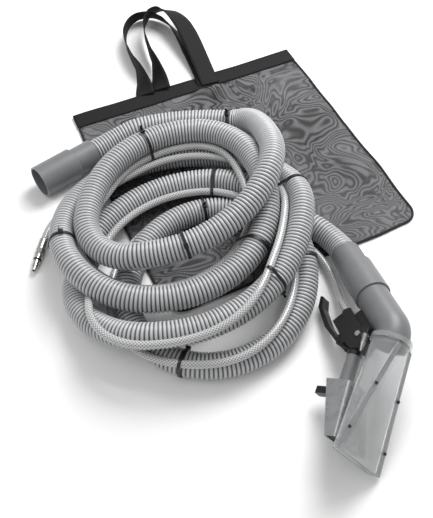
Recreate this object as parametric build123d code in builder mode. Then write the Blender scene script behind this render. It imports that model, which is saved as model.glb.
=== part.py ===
"""Upholstery cleaning hose set: a coiled vacuum hose with its solution hose tied to it,
a hand tool with a trigger valve, and the mesh bag that they lie on.

Millimetres, +Z up. The origin is the middle of the bag's underside, on the floor.
"""
from build123d import *
import math
import os

os.makedirs("parts", exist_ok=True)

# ---------------------------------------------------------------- driving dimensions
FLOOR = 0.0
CLEAR = 0.3                     # gap between a soft solid and its neighbour
RUN_FIT = 0.06                  # radial gap of a part that turns in another

BAG_WIDTH = 470.0
BAG_HEIGHT = 490.0
BAG_TURN = 25.4                 # the bag lies turned on the floor
BAG_CORNER = 28.0
CLOTH = 1.2                     # one layer of mesh
HEM = 24.0
PIPING = 4.0
STRAP_WIDTH = 36.0
STRAP = 2.4
HANDLE_FEET = 107.0             # between the two feet of a handle
HANDLE_REACH = (236.0, 208.0)   # how far each handle lies out from the hem

HOSE_R = 21.0                   # vacuum hose, outside
LINE_R = 6.35                   # solution hose, outside

CUFF_NECK_R = 24.5
CUFF_BODY_R = 28.0
CUFF_LENGTH = 113.0
CUFF_STEP = 3.0
COLLAR_R = 22.6
COLLAR_LENGTH = 22.0

TUBE_R = 25.0
TUBE_WALL = 2.5
TUBE_LENGTH = 120.0             # straight part, from inside the cuff to the bend
TUBE_BEND_R = 31.0
HEAD_ANGLE = 45.0
HEAD_TOP = 26.0                 # distances down the head, from the bend
HEAD_MOUTH = 200.0
HEAD_WALL = 2.5
MOUTH_WIDTH = 98.0
MOUTH_DEPTH = 16.0
SEAM = 0.8                      # gasket between the two halves of the head
FLANGE = 8.0

TOOL_BEND = (222.0, -401.0, 87.0)
TOOL_YAW = -75.0
TOOL_PITCH = 16.0
TOOL_ROLL = -55.0

CUFF_MOUTH = (-342.0, -60.0)    # middle of the machine cuff's mouth, on the floor plan
CUFF_HEADING = 39.2
PLUG_TIP = (-333.0, -236.0)
PLUG_HEADING = 81.5


# ---------------------------------------------------------------- frames and small tools
def heading_frame(origin, yaw, pitch=0.0, roll=0.0):
    """A plane whose x direction points along a heading, rolled about that direction."""
    turn, rise, twist = (math.radians(a) for a in (yaw, pitch, roll))
    along = Vector(math.cos(turn) * math.cos(rise), math.sin(turn) * math.cos(rise), math.sin(rise))
    left = Vector(-math.sin(turn), math.cos(turn), 0)
    up = along.cross(left)
    side = left * math.cos(twist) + up * math.sin(twist)
    return Plane(origin=Vector(*origin), x_dir=along, z_dir=along.cross(side))


def direction(frame, vector):
    """A direction given in a frame, in the part's own axes."""
    return frame.from_local_coords(Vector(*vector)) - frame.origin


def place(frame, origin, normal=(1, 0, 0), x_dir=(0, 1, 0)):
    """A plane at a point of a frame, its directions given in that frame."""
    return Plane(
        origin=frame.from_local_coords(Vector(*origin)),
        x_dir=direction(frame, x_dir),
        z_dir=direction(frame, normal),
    )


def save(builder, name):
    """Label a finished piece and write it to its own file."""
    builder.part.label = name
    export_step(builder.part, f"parts/{name}.step")


def turned(plane, steps, bore=0.0):
    """A round piece on a plane's normal, from (radius, length) steps, with a bore."""
    with BuildPart(plane) as piece:
        reach = 0.0
        for radius, length in steps:
            with Locations((0, 0, reach)):
                Cylinder(radius, length, align=(Align.CENTER, Align.CENTER, Align.MIN))
            reach += length
        if bore:
            Cylinder(bore, reach, align=(Align.CENTER, Align.CENTER, Align.MIN), mode=Mode.SUBTRACT)
    return piece


TOOL = heading_frame(TOOL_BEND, TOOL_YAW, TOOL_PITCH, TOOL_ROLL)
BEND = math.radians(HEAD_ANGLE)
HEAD = place(TOOL, (0, 0, 0), (math.sin(BEND), 0, math.cos(BEND)), (math.cos(BEND), 0, -math.sin(BEND)))
CUFF_START = -TUBE_LENGTH - CUFF_LENGTH + 40.0   # the tube stands 40 mm inside its cuff


# ---------------------------------------------------------------- mesh bag
BAG = Plane.XY.rotated((0, 0, BAG_TURN))


def bag_shape(inset):
    """The bag's flat shape, square at the hem and round at the bottom corners."""
    half = BAG_WIDTH / 2 - inset
    low = -BAG_HEIGHT / 2 + inset
    top = BAG_HEIGHT / 2 - HEM - CLEAR
    with BuildSketch() as shape:
        with BuildLine():
            FilletPolyline(
                (half, top), (half, low), (-half, low), (-half, top),
                radius=BAG_CORNER - inset,
            )
            Line((-half, top), (half, top))
        make_face()
    return shape.sketch


def bag_panel(name, base):
    """One layer of mesh inside the piping, up to the hem."""
    with BuildPart() as panel:
        with BuildSketch(BAG.offset(base)):
            add(bag_shape(PIPING + CLEAR))
        extrude(amount=CLOTH)
    save(panel, name)


bag_panel("bag_back_panel", FLOOR)
bag_panel("bag_front_panel", FLOOR + CLOTH + CLEAR)

with BuildPart() as bag_piping:
    with BuildSketch(BAG.offset(FLOOR)):
        add(bag_shape(0))
        add(bag_shape(PIPING), mode=Mode.SUBTRACT)
        with Locations((0, BAG_HEIGHT / 2 - HEM)):
            Rectangle(BAG_WIDTH - 2 * PIPING, HEM, mode=Mode.SUBTRACT)
    extrude(amount=2 * CLOTH + CLEAR)
save(bag_piping, "bag_piping")

with BuildPart() as bag_hem:
    for base in (FLOOR, FLOOR + CLOTH + CLEAR):
        with BuildSketch(BAG.offset(base)):
            with Locations((0, (BAG_HEIGHT - HEM) / 2)):
                Rectangle(BAG_WIDTH, HEM)
        extrude(amount=CLOTH)
save(bag_hem, "bag_hem")


def bag_handle(name, reach, lean, base):
    """A strap loop that stands on its edge, from one foot on the hem round to the other."""
    half = HANDLE_FEET / 2
    foot = BAG_HEIGHT / 2 + CLEAR + STRAP / 2
    top = BAG_HEIGHT / 2 + reach
    with BuildPart() as handle:
        with BuildSketch(BAG.offset(base)):
            with BuildLine():
                FilletPolyline(
                    (-half, foot), (-half + lean, top), (half + lean, top), (half, foot),
                    radius=half * 0.9,
                )
                offset(amount=STRAP / 2, side=Side.BOTH)
            make_face()
        extrude(amount=STRAP_WIDTH)
    save(handle, name)


bag_handle("handle_back", HANDLE_REACH[0], -38.0, FLOOR)
bag_handle("handle_front", HANDLE_REACH[1], 6.0, STRAP_WIDTH + CLEAR)

with BuildPart() as handle_patches:
    for side in (-1, 1):
        with BuildSketch(BAG.offset(2 * CLOTH + 2 * CLEAR)):
            with Locations((side * HANDLE_FEET / 2, BAG_HEIGHT / 2 - HEM / 2)):
                Rectangle(STRAP_WIDTH, HEM - 2)
        extrude(amount=CLOTH)
save(handle_patches, "handle_patches")


# ---------------------------------------------------------------- coil and free hose ends
COIL_RINGS = (
    # height, middle x, middle y, half width, half length
    (2 * CLOTH + 2 * CLEAR, -80.0, -185.0, 205.0, 262.0),
    (70.0, -87.0, -175.0, 215.0, 270.0),
    (165.0, -90.0, -135.0, 165.0, 170.0),
)
COIL_HOLLOW = 60.0              # depth of the hollow in the middle of the coil
COIL_HOLLOW_R = (40.0, 70.0)

CUFF_AXIS_HEIGHT = CUFF_BODY_R + 0.2
CUFF_LIP = 4.1                  # the hose stands this deep inside a cuff
MACHINE = heading_frame((*CUFF_MOUTH, CUFF_AXIS_HEIGHT), CUFF_HEADING)

with BuildPart() as hose_coil:
    for height, middle_x, middle_y, half_x, half_y in COIL_RINGS:
        with BuildSketch(Plane.XY.offset(height)):
            with Locations((middle_x, middle_y)):
                Ellipse(half_x, half_y)
    loft(ruled=True)
    coil_top = COIL_RINGS[-1][0]
    for height, radius in zip((coil_top - COIL_HOLLOW, coil_top), COIL_HOLLOW_R):
        with BuildSketch(Plane.XY.offset(height)):
            with Locations(COIL_RINGS[-1][1:3]):
                Circle(radius)
    loft(mode=Mode.SUBTRACT)
    with Locations(place(MACHINE, (0, 0, 0)).location):
        Cylinder(
            CUFF_NECK_R + 1.5, CUFF_LENGTH + 1,
            align=(Align.CENTER, Align.CENTER, Align.MIN), mode=Mode.SUBTRACT,
        )
save(hose_coil, "hose_coil")

PLUG_LENGTH = 62.0
PLUG_R = 8.4
PLUG = heading_frame((*PLUG_TIP, PLUG_R + 0.2), PLUG_HEADING)
INLET = (-88.0, 0.0, -46.0)     # where the solution hose meets the valve, in the tool's frame


def in_frame(frame, *point):
    """A point of a frame as plain numbers in the part's own axes."""
    spot = frame.from_local_coords(Vector(*point))
    return (spot.X, spot.Y, spot.Z)


ROUTES = {
    "vacuum_hose_machine_end": (HOSE_R, (
        in_frame(MACHINE, CUFF_LENGTH - CUFF_LIP, 0, 0),
        in_frame(MACHINE, CUFF_LENGTH + 18, 0, 0),
        (-219, 38, 30),
        (-197, 50, 35),
        (-173, 59, 41),
    )),
    "vacuum_hose_tool_end": (HOSE_R, (
        in_frame(TOOL, CUFF_START + CUFF_LIP, 0, 0),
        in_frame(TOOL, CUFF_START - 15, 0, 0),
        (154, -182, 24),
        (134, -161, 24.5),
        (109, -145, 25),
    )),
    "solution_hose_machine_end": (LINE_R, (
        in_frame(PLUG, PLUG_LENGTH, 0, 0),
        in_frame(PLUG, PLUG_LENGTH + 18, 0, 0),
        (-315, -138, 7.5),
        (-302, -111, 7),
        (-281, -84, 7.2),
        (-258, -62, 9),
    )),
    "solution_hose_tool_end": (LINE_R, (
        in_frame(TOOL, *INLET),
        in_frame(TOOL, INLET[0] - 20, 0, INLET[2]),
        (160, -295, 21),
        (155, -262, 14),
        (143, -221, 11),
        (121, -190, 11),
        (98, -175, 12),
    )),
}


def arc_radii(points):
    """The largest arc that the two runs beside each corner leave room for."""
    spots = [Vector(*p) for p in points]
    radii = []
    for before, corner, after in zip(spots, spots[1:], spots[2:]):
        shorter = min((corner - before).length, (after - corner).length)
        turn = math.radians((corner - before).get_angle(after - corner))
        radii.append(0.45 * shorter / math.tan(turn / 2))
    return radii


for hose_name, (hose_radius, hose_points) in ROUTES.items():
    hose_radii = arc_radii(hose_points)
    first, second = (Vector(*p) for p in hose_points[:2])
    with BuildPart() as hose_tube:
        with BuildLine() as hose_line:
            FilletPolyline(*hose_points, radius=hose_radii)
        with BuildSketch(Plane(origin=first, z_dir=second - first)):
            Circle(hose_radius)
        sweep(path=hose_line.line)
    save(hose_tube, hose_name)
    drawn = hose_tube.part.volume / (math.pi * hose_radius ** 2)
    print(hose_name, "radii", [round(r) for r in hose_radii],
          "length", round(hose_line.wire().length, 1), "from its volume", round(drawn, 1))

TIE_THICK = 1.4
TIE_WIDTH = 5.0
TIES = (
    # middle of the bundle, heading of the hose there
    ((56, -77, 138), -90.0),
    ((-120, -285, 122), 180.0),
    ((-118, -18, 104), 8.0),
    ((-258, -255, 78), 110.0),
    ((48, -175, 92), -110.0),
    ((60, -245, 66), -125.0),
    ((-60, -424, 26), 185.0),
)
with BuildPart() as cable_ties:
    for tie_middle, tie_heading in TIES:
        with BuildSketch(place(heading_frame(tie_middle, tie_heading), (-TIE_WIDTH / 2, 0, 0))):
            Circle(HOSE_R + CLEAR + TIE_THICK)
            Circle(HOSE_R + CLEAR, mode=Mode.SUBTRACT)
        extrude(amount=TIE_WIDTH)
save(cable_ties, "cable_ties")


# ---------------------------------------------------------------- swivel cuffs
RING_GAP = 0.2
RING = 1.4
NECK_LENGTH = 40.0


def cuff(prefix, plane):
    """A two-step cuff that turns on a collar screwed to the hose; the plane is at its hose end."""
    ring_start = CUFF_LIP + COLLAR_LENGTH + RING_GAP
    port_start = NECK_LENGTH + CUFF_STEP / 2
    lower = (Align.CENTER, Align.CENTER, Align.MIN)
    with BuildPart(plane) as shell:
        Cylinder(CUFF_NECK_R, NECK_LENGTH, align=lower)
        with Locations((0, 0, NECK_LENGTH)):
            Cone(CUFF_NECK_R, CUFF_BODY_R, CUFF_STEP, align=lower)
        with Locations((0, 0, NECK_LENGTH + CUFF_STEP)):
            Cylinder(CUFF_BODY_R, CUFF_LENGTH - NECK_LENGTH - CUFF_STEP, align=lower)
        Cylinder(HOSE_R + 0.6, CUFF_LIP, align=lower, mode=Mode.SUBTRACT)
        with Locations((0, 0, CUFF_LIP)):
            Cylinder(COLLAR_R + RUN_FIT, port_start - CUFF_LIP, align=lower, mode=Mode.SUBTRACT)
        with Locations((0, 0, ring_start - RING_GAP / 2)):
            Cylinder(COLLAR_R + 1, RING + RING_GAP, align=lower, mode=Mode.SUBTRACT)
        with Locations((0, 0, port_start + CUFF_STEP)):
            Cylinder(TUBE_R + RUN_FIT, CUFF_LENGTH, align=lower, mode=Mode.SUBTRACT)
        with Locations((0, 0, port_start)):
            Cone(COLLAR_R + RUN_FIT, TUBE_R + RUN_FIT, CUFF_STEP, align=lower, mode=Mode.SUBTRACT)
    save(shell, f"{prefix}_cuff_shell")
    save(turned(plane.offset(CUFF_LIP), ((COLLAR_R, COLLAR_LENGTH),), 17.5), f"{prefix}_cuff_collar")
    save(turned(plane.offset(ring_start), ((COLLAR_R + 0.9, RING),), 20.8), f"{prefix}_cuff_ring")


cuff("tool", place(TOOL, (CUFF_START, 0, 0)))
cuff("machine", place(MACHINE, (CUFF_LENGTH, 0, 0), (-1, 0, 0), (0, 1, 0)))


# ---------------------------------------------------------------- quick-connect plug
plug_base = place(PLUG, (PLUG_LENGTH, 0, 0), (-1, 0, 0), (0, 1, 0))
save(turned(plug_base, ((8.0, 20.0),), 3.0), "plug_ferrule")
with BuildPart(plug_base.offset(20.0)) as plug_body:
    with BuildSketch(plug_base.offset(20.0)):
        RegularPolygon(PLUG_R, 6)
    extrude(amount=9)
    plug_reach = 9.0
    for plug_radius, plug_step in ((5.6, 4.0), (7.2, 7.0), (4.6, 3.0), (5.8, 12.0), (4.4, 7.0)):
        with Locations((0, 0, plug_reach)):
            Cylinder(plug_radius, plug_step, align=(Align.CENTER, Align.CENTER, Align.MIN))
        plug_reach += plug_step
    Cylinder(2.4, plug_reach, align=(Align.CENTER, Align.CENTER, Align.MIN), mode=Mode.SUBTRACT)
save(plug_body, "plug_body")
save(turned(plug_base.offset(40.5), ((6.2, 2.0),), 4.62), "plug_seal")


# ---------------------------------------------------------------- tool: tube and clear head
with BuildPart() as vac_tube:
    with BuildLine() as tube_path:
        FilletPolyline(
            in_frame(TOOL, -TUBE_LENGTH, 0, 0), in_frame(TOOL, 0, 0, 0), in_frame(HEAD, HEAD_TOP + 2, 0, 0),
            radius=TUBE_BEND_R,
        )
    with BuildSketch(place(TOOL, (-TUBE_LENGTH, 0, 0))):
        Circle(TUBE_R)
        Circle(TUBE_R - TUBE_WALL, mode=Mode.SUBTRACT)
    sweep(path=tube_path.line)
save(vac_tube, "vac_tube")

SOCKET_START = 14.0
SOCKET_R = TUBE_R + 3.0


def head_section(reach, margin):
    """Width and depth of the head at a distance down it, with a margin all round."""
    share = (reach - HEAD_TOP) / (HEAD_MOUTH - HEAD_TOP)
    width = 2 * SOCKET_R + share * (MOUTH_WIDTH - 2 * SOCKET_R)
    depth = 2 * SOCKET_R + share * (MOUTH_DEPTH - 2 * SOCKET_R)
    return width + 2 * margin, depth + 2 * margin


def head_duct(margin, start=HEAD_TOP, finish=HEAD_MOUTH):
    """The head's fanned duct as a solid, grown by a margin."""
    with BuildPart() as duct:
        for reach in (start, finish):
            width, depth = head_section(reach, margin)
            corner = min(depth / 2, SOCKET_R) - 1.5
            with BuildSketch(place(HEAD, (reach, 0, 0))):
                RectangleRounded(width, depth, corner)
        loft()
    return duct.part


# The seam lies just behind the head's flat front, and slopes with it.
FRONT_DEPTH = 4.0
FRONT_SLOPE = math.atan2((2 * SOCKET_R - MOUTH_DEPTH) / 2, HEAD_MOUTH - HEAD_TOP)
FACE_DIRECTIONS = (
    (math.sin(FRONT_SLOPE), 0, math.cos(FRONT_SLOPE)), (math.cos(FRONT_SLOPE), 0, -math.sin(FRONT_SLOPE)),
)


def face_plane(reach=0.0, across=0.0, lift=0.0):
    """A plane on the seam, its x direction down the head and its normal out of the front."""
    return place(
        place(HEAD, (HEAD_TOP, 0, SOCKET_R - FRONT_DEPTH), *FACE_DIRECTIONS),
        ((reach - HEAD_TOP) / math.cos(FRONT_SLOPE) if reach else 0.0, across, lift), (0, 0, 1), (1, 0, 0),
    )


FRONT_TOP_WIDTH = 36.0


def front_half_width(reach):
    """Half the width of the flat front, flanges included, at a distance down the head."""
    share = (reach - HEAD_TOP) / (HEAD_MOUTH - HEAD_TOP)
    return (FRONT_TOP_WIDTH + share * (MOUTH_WIDTH + 2 * FLANGE - FRONT_TOP_WIDTH)) / 2


def seam_slab(half_thickness):
    """A slab on the seam, as wide as the front and its flanges."""
    start, finish = HEAD_TOP + 0.5, HEAD_MOUTH - 0.5
    wide_start, wide_finish = front_half_width(start), front_half_width(finish)
    with BuildPart() as slab:
        with BuildSketch(face_plane()):
            low, high = ((reach - HEAD_TOP) / math.cos(FRONT_SLOPE) for reach in (start, finish))
            with BuildLine():
                Polyline(
                    (low, -wide_start), (high, -wide_finish), (high, wide_finish), (low, wide_start),
                    close=True,
                )
            make_face()
        extrude(amount=half_thickness, both=True)
    return slab.part


SCREW_R = 1.2
SCREW_HEAD_R = 2.4
SCREW_INSET = 3.1
SEAM_SCREWS = [
    (reach, side * (front_half_width(reach) - SCREW_INSET))
    for reach in (96.0, 168.0)
    for side in (-1, 1)
]
FLANGE_HALF = 2.2


def seam_pins(radius):
    """A pin through the flanges at each screw."""
    with BuildPart() as pins:
        for reach, across in SEAM_SCREWS:
            with BuildSketch(face_plane(reach, across)):
                Circle(radius)
            extrude(amount=FLANGE_HALF, both=True)
    return pins.part


def head_half(name, side):
    """One clear half of the head: its part of the socket, duct wall and flanges."""
    with BuildPart() as half:
        add(head_duct(0))
        add(seam_slab(FLANGE_HALF))
        with BuildSketch(place(HEAD, (SOCKET_START, 0, 0))):
            Circle(SOCKET_R)
        extrude(amount=HEAD_TOP - SOCKET_START)
        add(head_duct(-HEAD_WALL, HEAD_TOP - 0.01, HEAD_MOUTH + 0.01), mode=Mode.SUBTRACT)
        with BuildSketch(place(HEAD, (SOCKET_START, 0, 0))):
            Circle(TUBE_R + RUN_FIT)
        extrude(amount=HEAD_TOP + 2.5 - SOCKET_START, mode=Mode.SUBTRACT)
        add(seam_pins(SCREW_R + 0.1), mode=Mode.SUBTRACT)
        split(bisect_by=place(face_plane(lift=side * SEAM / 2), (0, 0, 0), (0, 0, side), (1, 0, 0)), keep=Keep.TOP)
    save(half, name)


head_half("head_outer_shell", 1)
head_half("head_inner_shell", -1)

with BuildPart() as head_gasket:
    add(seam_slab(SEAM / 2))
    add(head_duct(-HEAD_WALL, HEAD_TOP - 0.01, HEAD_MOUTH + 0.01), mode=Mode.SUBTRACT)
    add(seam_pins(SCREW_R + 0.1), mode=Mode.SUBTRACT)
save(head_gasket, "head_gasket")

with BuildPart() as head_screws:
    add(seam_pins(SCREW_R))
    for screw_reach, screw_across in SEAM_SCREWS:
        with BuildSketch(face_plane(screw_reach, screw_across, FLANGE_HALF)):
            Circle(SCREW_HEAD_R)
        extrude(amount=1.8)
save(head_screws, "head_screws")

with BuildPart() as head_ring:
    with BuildSketch(place(HEAD, (SOCKET_START + 1, 0, 0))):
        Circle(SOCKET_R + 2.6)
        with Locations((SOCKET_R + 4, 0)):
            RectangleRounded(12, 9, 2)
        Circle(SOCKET_R + 0.1, mode=Mode.SUBTRACT)
    extrude(amount=7)
save(head_ring, "head_ring")


# ---------------------------------------------------------------- tool: spray hood and jet
HOOD_TOP = 92.0
HOOD_MOUTH = 182.0
HOOD_WALL = 2.2
HOOD_TOP_SIZE = (48.0, 44.0)
HOOD_MOUTH_SIZE = (80.0, 21.0)
HOOD_DROP = (-53.0, -23.5)      # middle of the hood, below the head's middle, at its top and mouth
JET_DROP = -56.0                # the jet's line below the head's middle


def hood_solid(margin, start=HOOD_TOP, finish=HOOD_MOUTH):
    """The spray hood's flared shape as a solid, grown by a margin."""
    with BuildPart() as wedge:
        for reach in (start, finish):
            share = (reach - HOOD_TOP) / (HOOD_MOUTH - HOOD_TOP)
            width = HOOD_TOP_SIZE[0] + share * (HOOD_MOUTH_SIZE[0] - HOOD_TOP_SIZE[0]) + 2 * margin
            depth = HOOD_TOP_SIZE[1] + share * (HOOD_MOUTH_SIZE[1] - HOOD_TOP_SIZE[1]) + 2 * margin
            drop = HOOD_DROP[0] + share * (HOOD_DROP[1] - HOOD_DROP[0])
            with BuildSketch(place(HEAD, (reach, 0, drop))):
                RectangleRounded(width, depth, 5 + margin)
        loft()
    return wedge.part


with BuildPart() as spray_hood:
    add(hood_solid(0))
    add(hood_solid(-HOOD_WALL, HOOD_TOP + HOOD_WALL, HOOD_MOUTH + 0.01), mode=Mode.SUBTRACT)
    with BuildSketch(place(HEAD, (HOOD_TOP, 0, JET_DROP))):
        Circle(6.1)
    extrude(amount=HOOD_WALL, mode=Mode.SUBTRACT)
save(spray_hood, "spray_hood")

with BuildPart() as hood_saddle:
    with BuildSketch(place(HEAD, (100, 0, -30))):
        RectangleRounded(26, 40, 3)
    extrude(amount=18)
    add(head_duct(0), mode=Mode.SUBTRACT)
    add(hood_solid(0), mode=Mode.SUBTRACT)
save(hood_saddle, "hood_saddle")

with BuildPart() as hood_clip:
    with BuildSketch(place(HEAD, (104, -14, -77))):
        RectangleRounded(14, 22, 2)
    extrude(amount=11)
    add(hood_solid(0), mode=Mode.SUBTRACT)
save(hood_clip, "hood_clip")

JET_START = 66.0
SPRAY_TUBE_START = 44.0
with BuildPart() as spray_tube:
    with BuildSketch(place(HEAD, (SPRAY_TUBE_START, 0, JET_DROP))):
        Circle(10.5)
        Circle(3.2, mode=Mode.SUBTRACT)
    extrude(amount=HOOD_TOP - 0.2 - SPRAY_TUBE_START)
    with BuildSketch(place(HEAD, (JET_START, 0, JET_DROP))):
        Circle(6.1)
    extrude(amount=HOOD_TOP, mode=Mode.SUBTRACT)
save(spray_tube, "spray_tube")

save(turned(place(HEAD, (JET_START + 4, 0, JET_DROP)), ((5.0, 12.0),), 3.5), "jet_strainer")
jet_plane = place(HEAD, (HOOD_TOP - 6, 0, JET_DROP))
save(turned(jet_plane, ((6.0, 8.4), (9.0, 4.0)), 2.5), "jet_body")
save(turned(jet_plane.offset(12.5), ((5.0, 6.0), (3.0, 2.0)), 0.8), "jet_tip")


# ---------------------------------------------------------------- tool: valve
VALVE_HALF = 13.0
PLUNGER_X = -58.0
PIVOT = (-38.0, -76.0)
PIVOT_R = 2.0
LEVER_HALF = 9.0
PASSAGE_R = 3.2
BODY_TOP = -36.0
BODY_BOTTOM = -70.0
LOCK_SCREW = (-27.0, -46.0)
NEEDLE = (16.0, -18.0, -34.0)   # foot of the pressure screw, in the head's frame
SIDE_VIEW = place(TOOL, (0, 0, 0), (0, -1, 0), (1, 0, 0))     # sketch axes are the tool's x and z


with BuildPart() as valve_body:
    with BuildSketch(SIDE_VIEW) as body_side:
        with BuildLine():
            Polyline(
                (-80, BODY_TOP), (-6, BODY_TOP), (-6, -57), (-14, -66), (-26, BODY_BOTTOM), (-80, BODY_BOTTOM),
                close=True,
            )
        make_face()
        fillet(body_side.vertices(), 2.5)
    extrude(amount=VALVE_HALF, both=True)
    with BuildSketch(place(HEAD, (26, 0, JET_DROP))):
        Circle(11.5)
    extrude(amount=SPRAY_TUBE_START - 0.2 - 26)
    with BuildSketch(place(HEAD, (NEEDLE[0] - 9, NEEDLE[1], NEEDLE[2]))):
        RectangleRounded(11.4, 12.6, 2)
    extrude(amount=9)
    for ear_side in (-1, 1):
        with BuildSketch(SIDE_VIEW.offset(ear_side * (VALVE_HALF + LEVER_HALF + 0.4) / 2)):
            with Locations(PIVOT):
                Circle(6.0)
            with Locations((PIVOT[0], (PIVOT[1] + BODY_BOTTOM) / 2 + 1)):
                Rectangle(12, abs(PIVOT[1] - BODY_BOTTOM) + 2)
        extrude(amount=(VALVE_HALF - LEVER_HALF - 0.4) / 2, both=True)
    with BuildSketch(SIDE_VIEW):
        with Locations(PIVOT):
            Circle(PIVOT_R + 0.05)
        with Locations(LOCK_SCREW):
            Circle(2.3)
    extrude(amount=VALVE_HALF, both=True, mode=Mode.SUBTRACT)
    with BuildSketch(place(TOOL, (PLUNGER_X, 0, BODY_BOTTOM), (0, 0, 1), (1, 0, 0))):
        Circle(6.2)
    extrude(amount=25.7, mode=Mode.SUBTRACT)
    with BuildSketch(place(TOOL, (PLUNGER_X, 0, BODY_BOTTOM), (0, 0, 1), (1, 0, 0))):
        Circle(8.0)
    extrude(amount=3, mode=Mode.SUBTRACT)
    with BuildSketch(place(TOOL, (-80, 0, INLET[2]))):
        Circle(PASSAGE_R)
    extrude(amount=20, mode=Mode.SUBTRACT)
    with BuildSketch(place(TOOL, (PLUNGER_X, 0, -62))):
        Circle(PASSAGE_R)
    extrude(amount=38, mode=Mode.SUBTRACT)
    with BuildSketch(place(HEAD, (28, 0, JET_DROP))):
        Circle(PASSAGE_R)
    extrude(amount=20, mode=Mode.SUBTRACT)
save(valve_body, "valve_body")

with BuildPart() as valve_saddle:
    with BuildSketch(place(TOOL, (-66, 0, -29))):
        Rectangle(18, 13.6)
    extrude(amount=44)
    with BuildSketch(place(TOOL, (-66, 0, 0))):
        Circle(TUBE_R)
    extrude(amount=44, mode=Mode.SUBTRACT)
save(valve_saddle, "valve_saddle")

plunger_plane = place(TOOL, (PLUNGER_X, 0, -77), (0, 0, 1), (1, 0, 0))
save(turned(plunger_plane, ((3.0, 15.0), (5.9, 4.0), (2.2, 6.0))), "valve_plunger")
save(turned(plunger_plane.offset(13.4), ((6.14, 1.5),), 3.0 + RUN_FIT), "plunger_seal")
save(turned(plunger_plane.offset(5.6), ((7.9, 4.3),), 3.0 + RUN_FIT), "valve_cap")
save(turned(plunger_plane.offset(30.6), ((6.1, 2.0),), 2.5), "valve_seat")

SPRING_R = 4.2
WIRE_R = 0.45
with BuildPart() as valve_spring:
    spring_low = in_frame(TOOL, PLUNGER_X, 0, -57.4)
    with BuildLine() as spring_path:
        Helix(2.1, 10.2, SPRING_R, center=spring_low, direction=direction(TOOL, (0, 0, 1)))
    with BuildSketch(Plane(origin=spring_path.line @ 0, z_dir=spring_path.line % 0)):
        Circle(WIRE_R)
    sweep(path=spring_path.line, is_frenet=True)
save(valve_spring, "valve_spring")

save(turned(place(TOOL, INLET), ((8.6, 5.8), (7.4, 2.0)), PASSAGE_R), "inlet_nut")
save(turned(place(TOOL, (-86, 0, INLET[2])), ((3.1, 18.0),), 2.0), "inlet_barb")

with BuildPart() as valve_lock_screw:
    with BuildSketch(SIDE_VIEW):
        with Locations(LOCK_SCREW):
            Circle(2.2)
    extrude(amount=VALVE_HALF, both=True)
    for screw_side in (-1, 1):
        with BuildSketch(SIDE_VIEW.offset(screw_side * (VALVE_HALF + 1.3))):
            with Locations(LOCK_SCREW):
                Circle(4.4)
        extrude(amount=1.3, both=True)
save(valve_lock_screw, "valve_lock_screw")

with BuildPart(place(HEAD, NEEDLE)) as pressure_screw:
    Cylinder(5.0, 5.0, align=(Align.CENTER, Align.CENTER, Align.MIN))
    with Locations((0, 0, 5)):
        Cylinder(4.0, 9.0, align=(Align.CENTER, Align.CENTER, Align.MIN))
    with Locations((0, 0, 14)):
        Cone(4.0, 1.0, 14.0, align=(Align.CENTER, Align.CENTER, Align.MIN))
save(pressure_screw, "pressure_screw")


# ---------------------------------------------------------------- tool: trigger
with BuildPart() as trigger:
    with BuildSketch(SIDE_VIEW) as blade_side:
        with BuildLine():
            Polyline(
                (-36, -77.3), (-84, -79), (-122, -74), (-139, -65), (-143, -68), (-127, -80), (-84, -86), (-36, -81),
                close=True,
            )
        make_face()
        with Locations(PIVOT):
            Circle(4.8)
            Circle(PIVOT_R + RUN_FIT, mode=Mode.SUBTRACT)
    extrude(amount=LEVER_HALF, both=True)
save(trigger, "trigger")

with BuildPart() as trigger_pin:
    with BuildSketch(SIDE_VIEW):
        with Locations(PIVOT):
            Circle(PIVOT_R)
    extrude(amount=VALVE_HALF + 0.4, both=True)
save(trigger_pin, "trigger_pin")
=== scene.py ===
import bmesh
import bpy
import math
import numpy as np
from mathutils import Matrix, Vector, noise


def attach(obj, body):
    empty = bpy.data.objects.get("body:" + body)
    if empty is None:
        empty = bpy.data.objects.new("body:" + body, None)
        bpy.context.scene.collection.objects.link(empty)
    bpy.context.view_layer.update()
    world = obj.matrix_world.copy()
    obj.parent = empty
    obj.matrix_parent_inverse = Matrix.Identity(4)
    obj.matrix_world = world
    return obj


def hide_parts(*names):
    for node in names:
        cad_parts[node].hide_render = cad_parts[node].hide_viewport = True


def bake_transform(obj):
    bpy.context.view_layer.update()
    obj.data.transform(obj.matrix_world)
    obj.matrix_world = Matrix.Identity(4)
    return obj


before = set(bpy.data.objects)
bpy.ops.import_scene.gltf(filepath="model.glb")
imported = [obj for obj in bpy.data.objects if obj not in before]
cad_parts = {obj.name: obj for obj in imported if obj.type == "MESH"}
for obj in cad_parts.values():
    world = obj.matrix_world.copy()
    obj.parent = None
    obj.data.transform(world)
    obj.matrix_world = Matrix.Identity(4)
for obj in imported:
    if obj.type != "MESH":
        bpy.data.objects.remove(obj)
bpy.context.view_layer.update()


# ------------------------------------------------------------------ studio
# White sweep table under one broad soft box high on the right, with a weaker
# one from the front left, so that shadows fall soft towards the lower left.
table = bmesh.new()
bmesh.ops.create_grid(table, x_segments=1, y_segments=1, size=6.0)
table_mesh = bpy.data.meshes.new("table")
table.to_mesh(table_mesh)
table.free()
floor = bpy.data.objects.new("table", table_mesh)
bpy.context.scene.collection.objects.link(floor)


def linear(code):
    """An sRGB hex colour as the linear RGBA that the shaders take."""
    parts = [int(code[place:place + 2], 16) / 255 for place in (1, 3, 5)]
    return [part / 12.92 if part <= 0.04045 else ((part + 0.055) / 1.055) ** 2.4 for part in parts] + [1.0]


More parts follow.
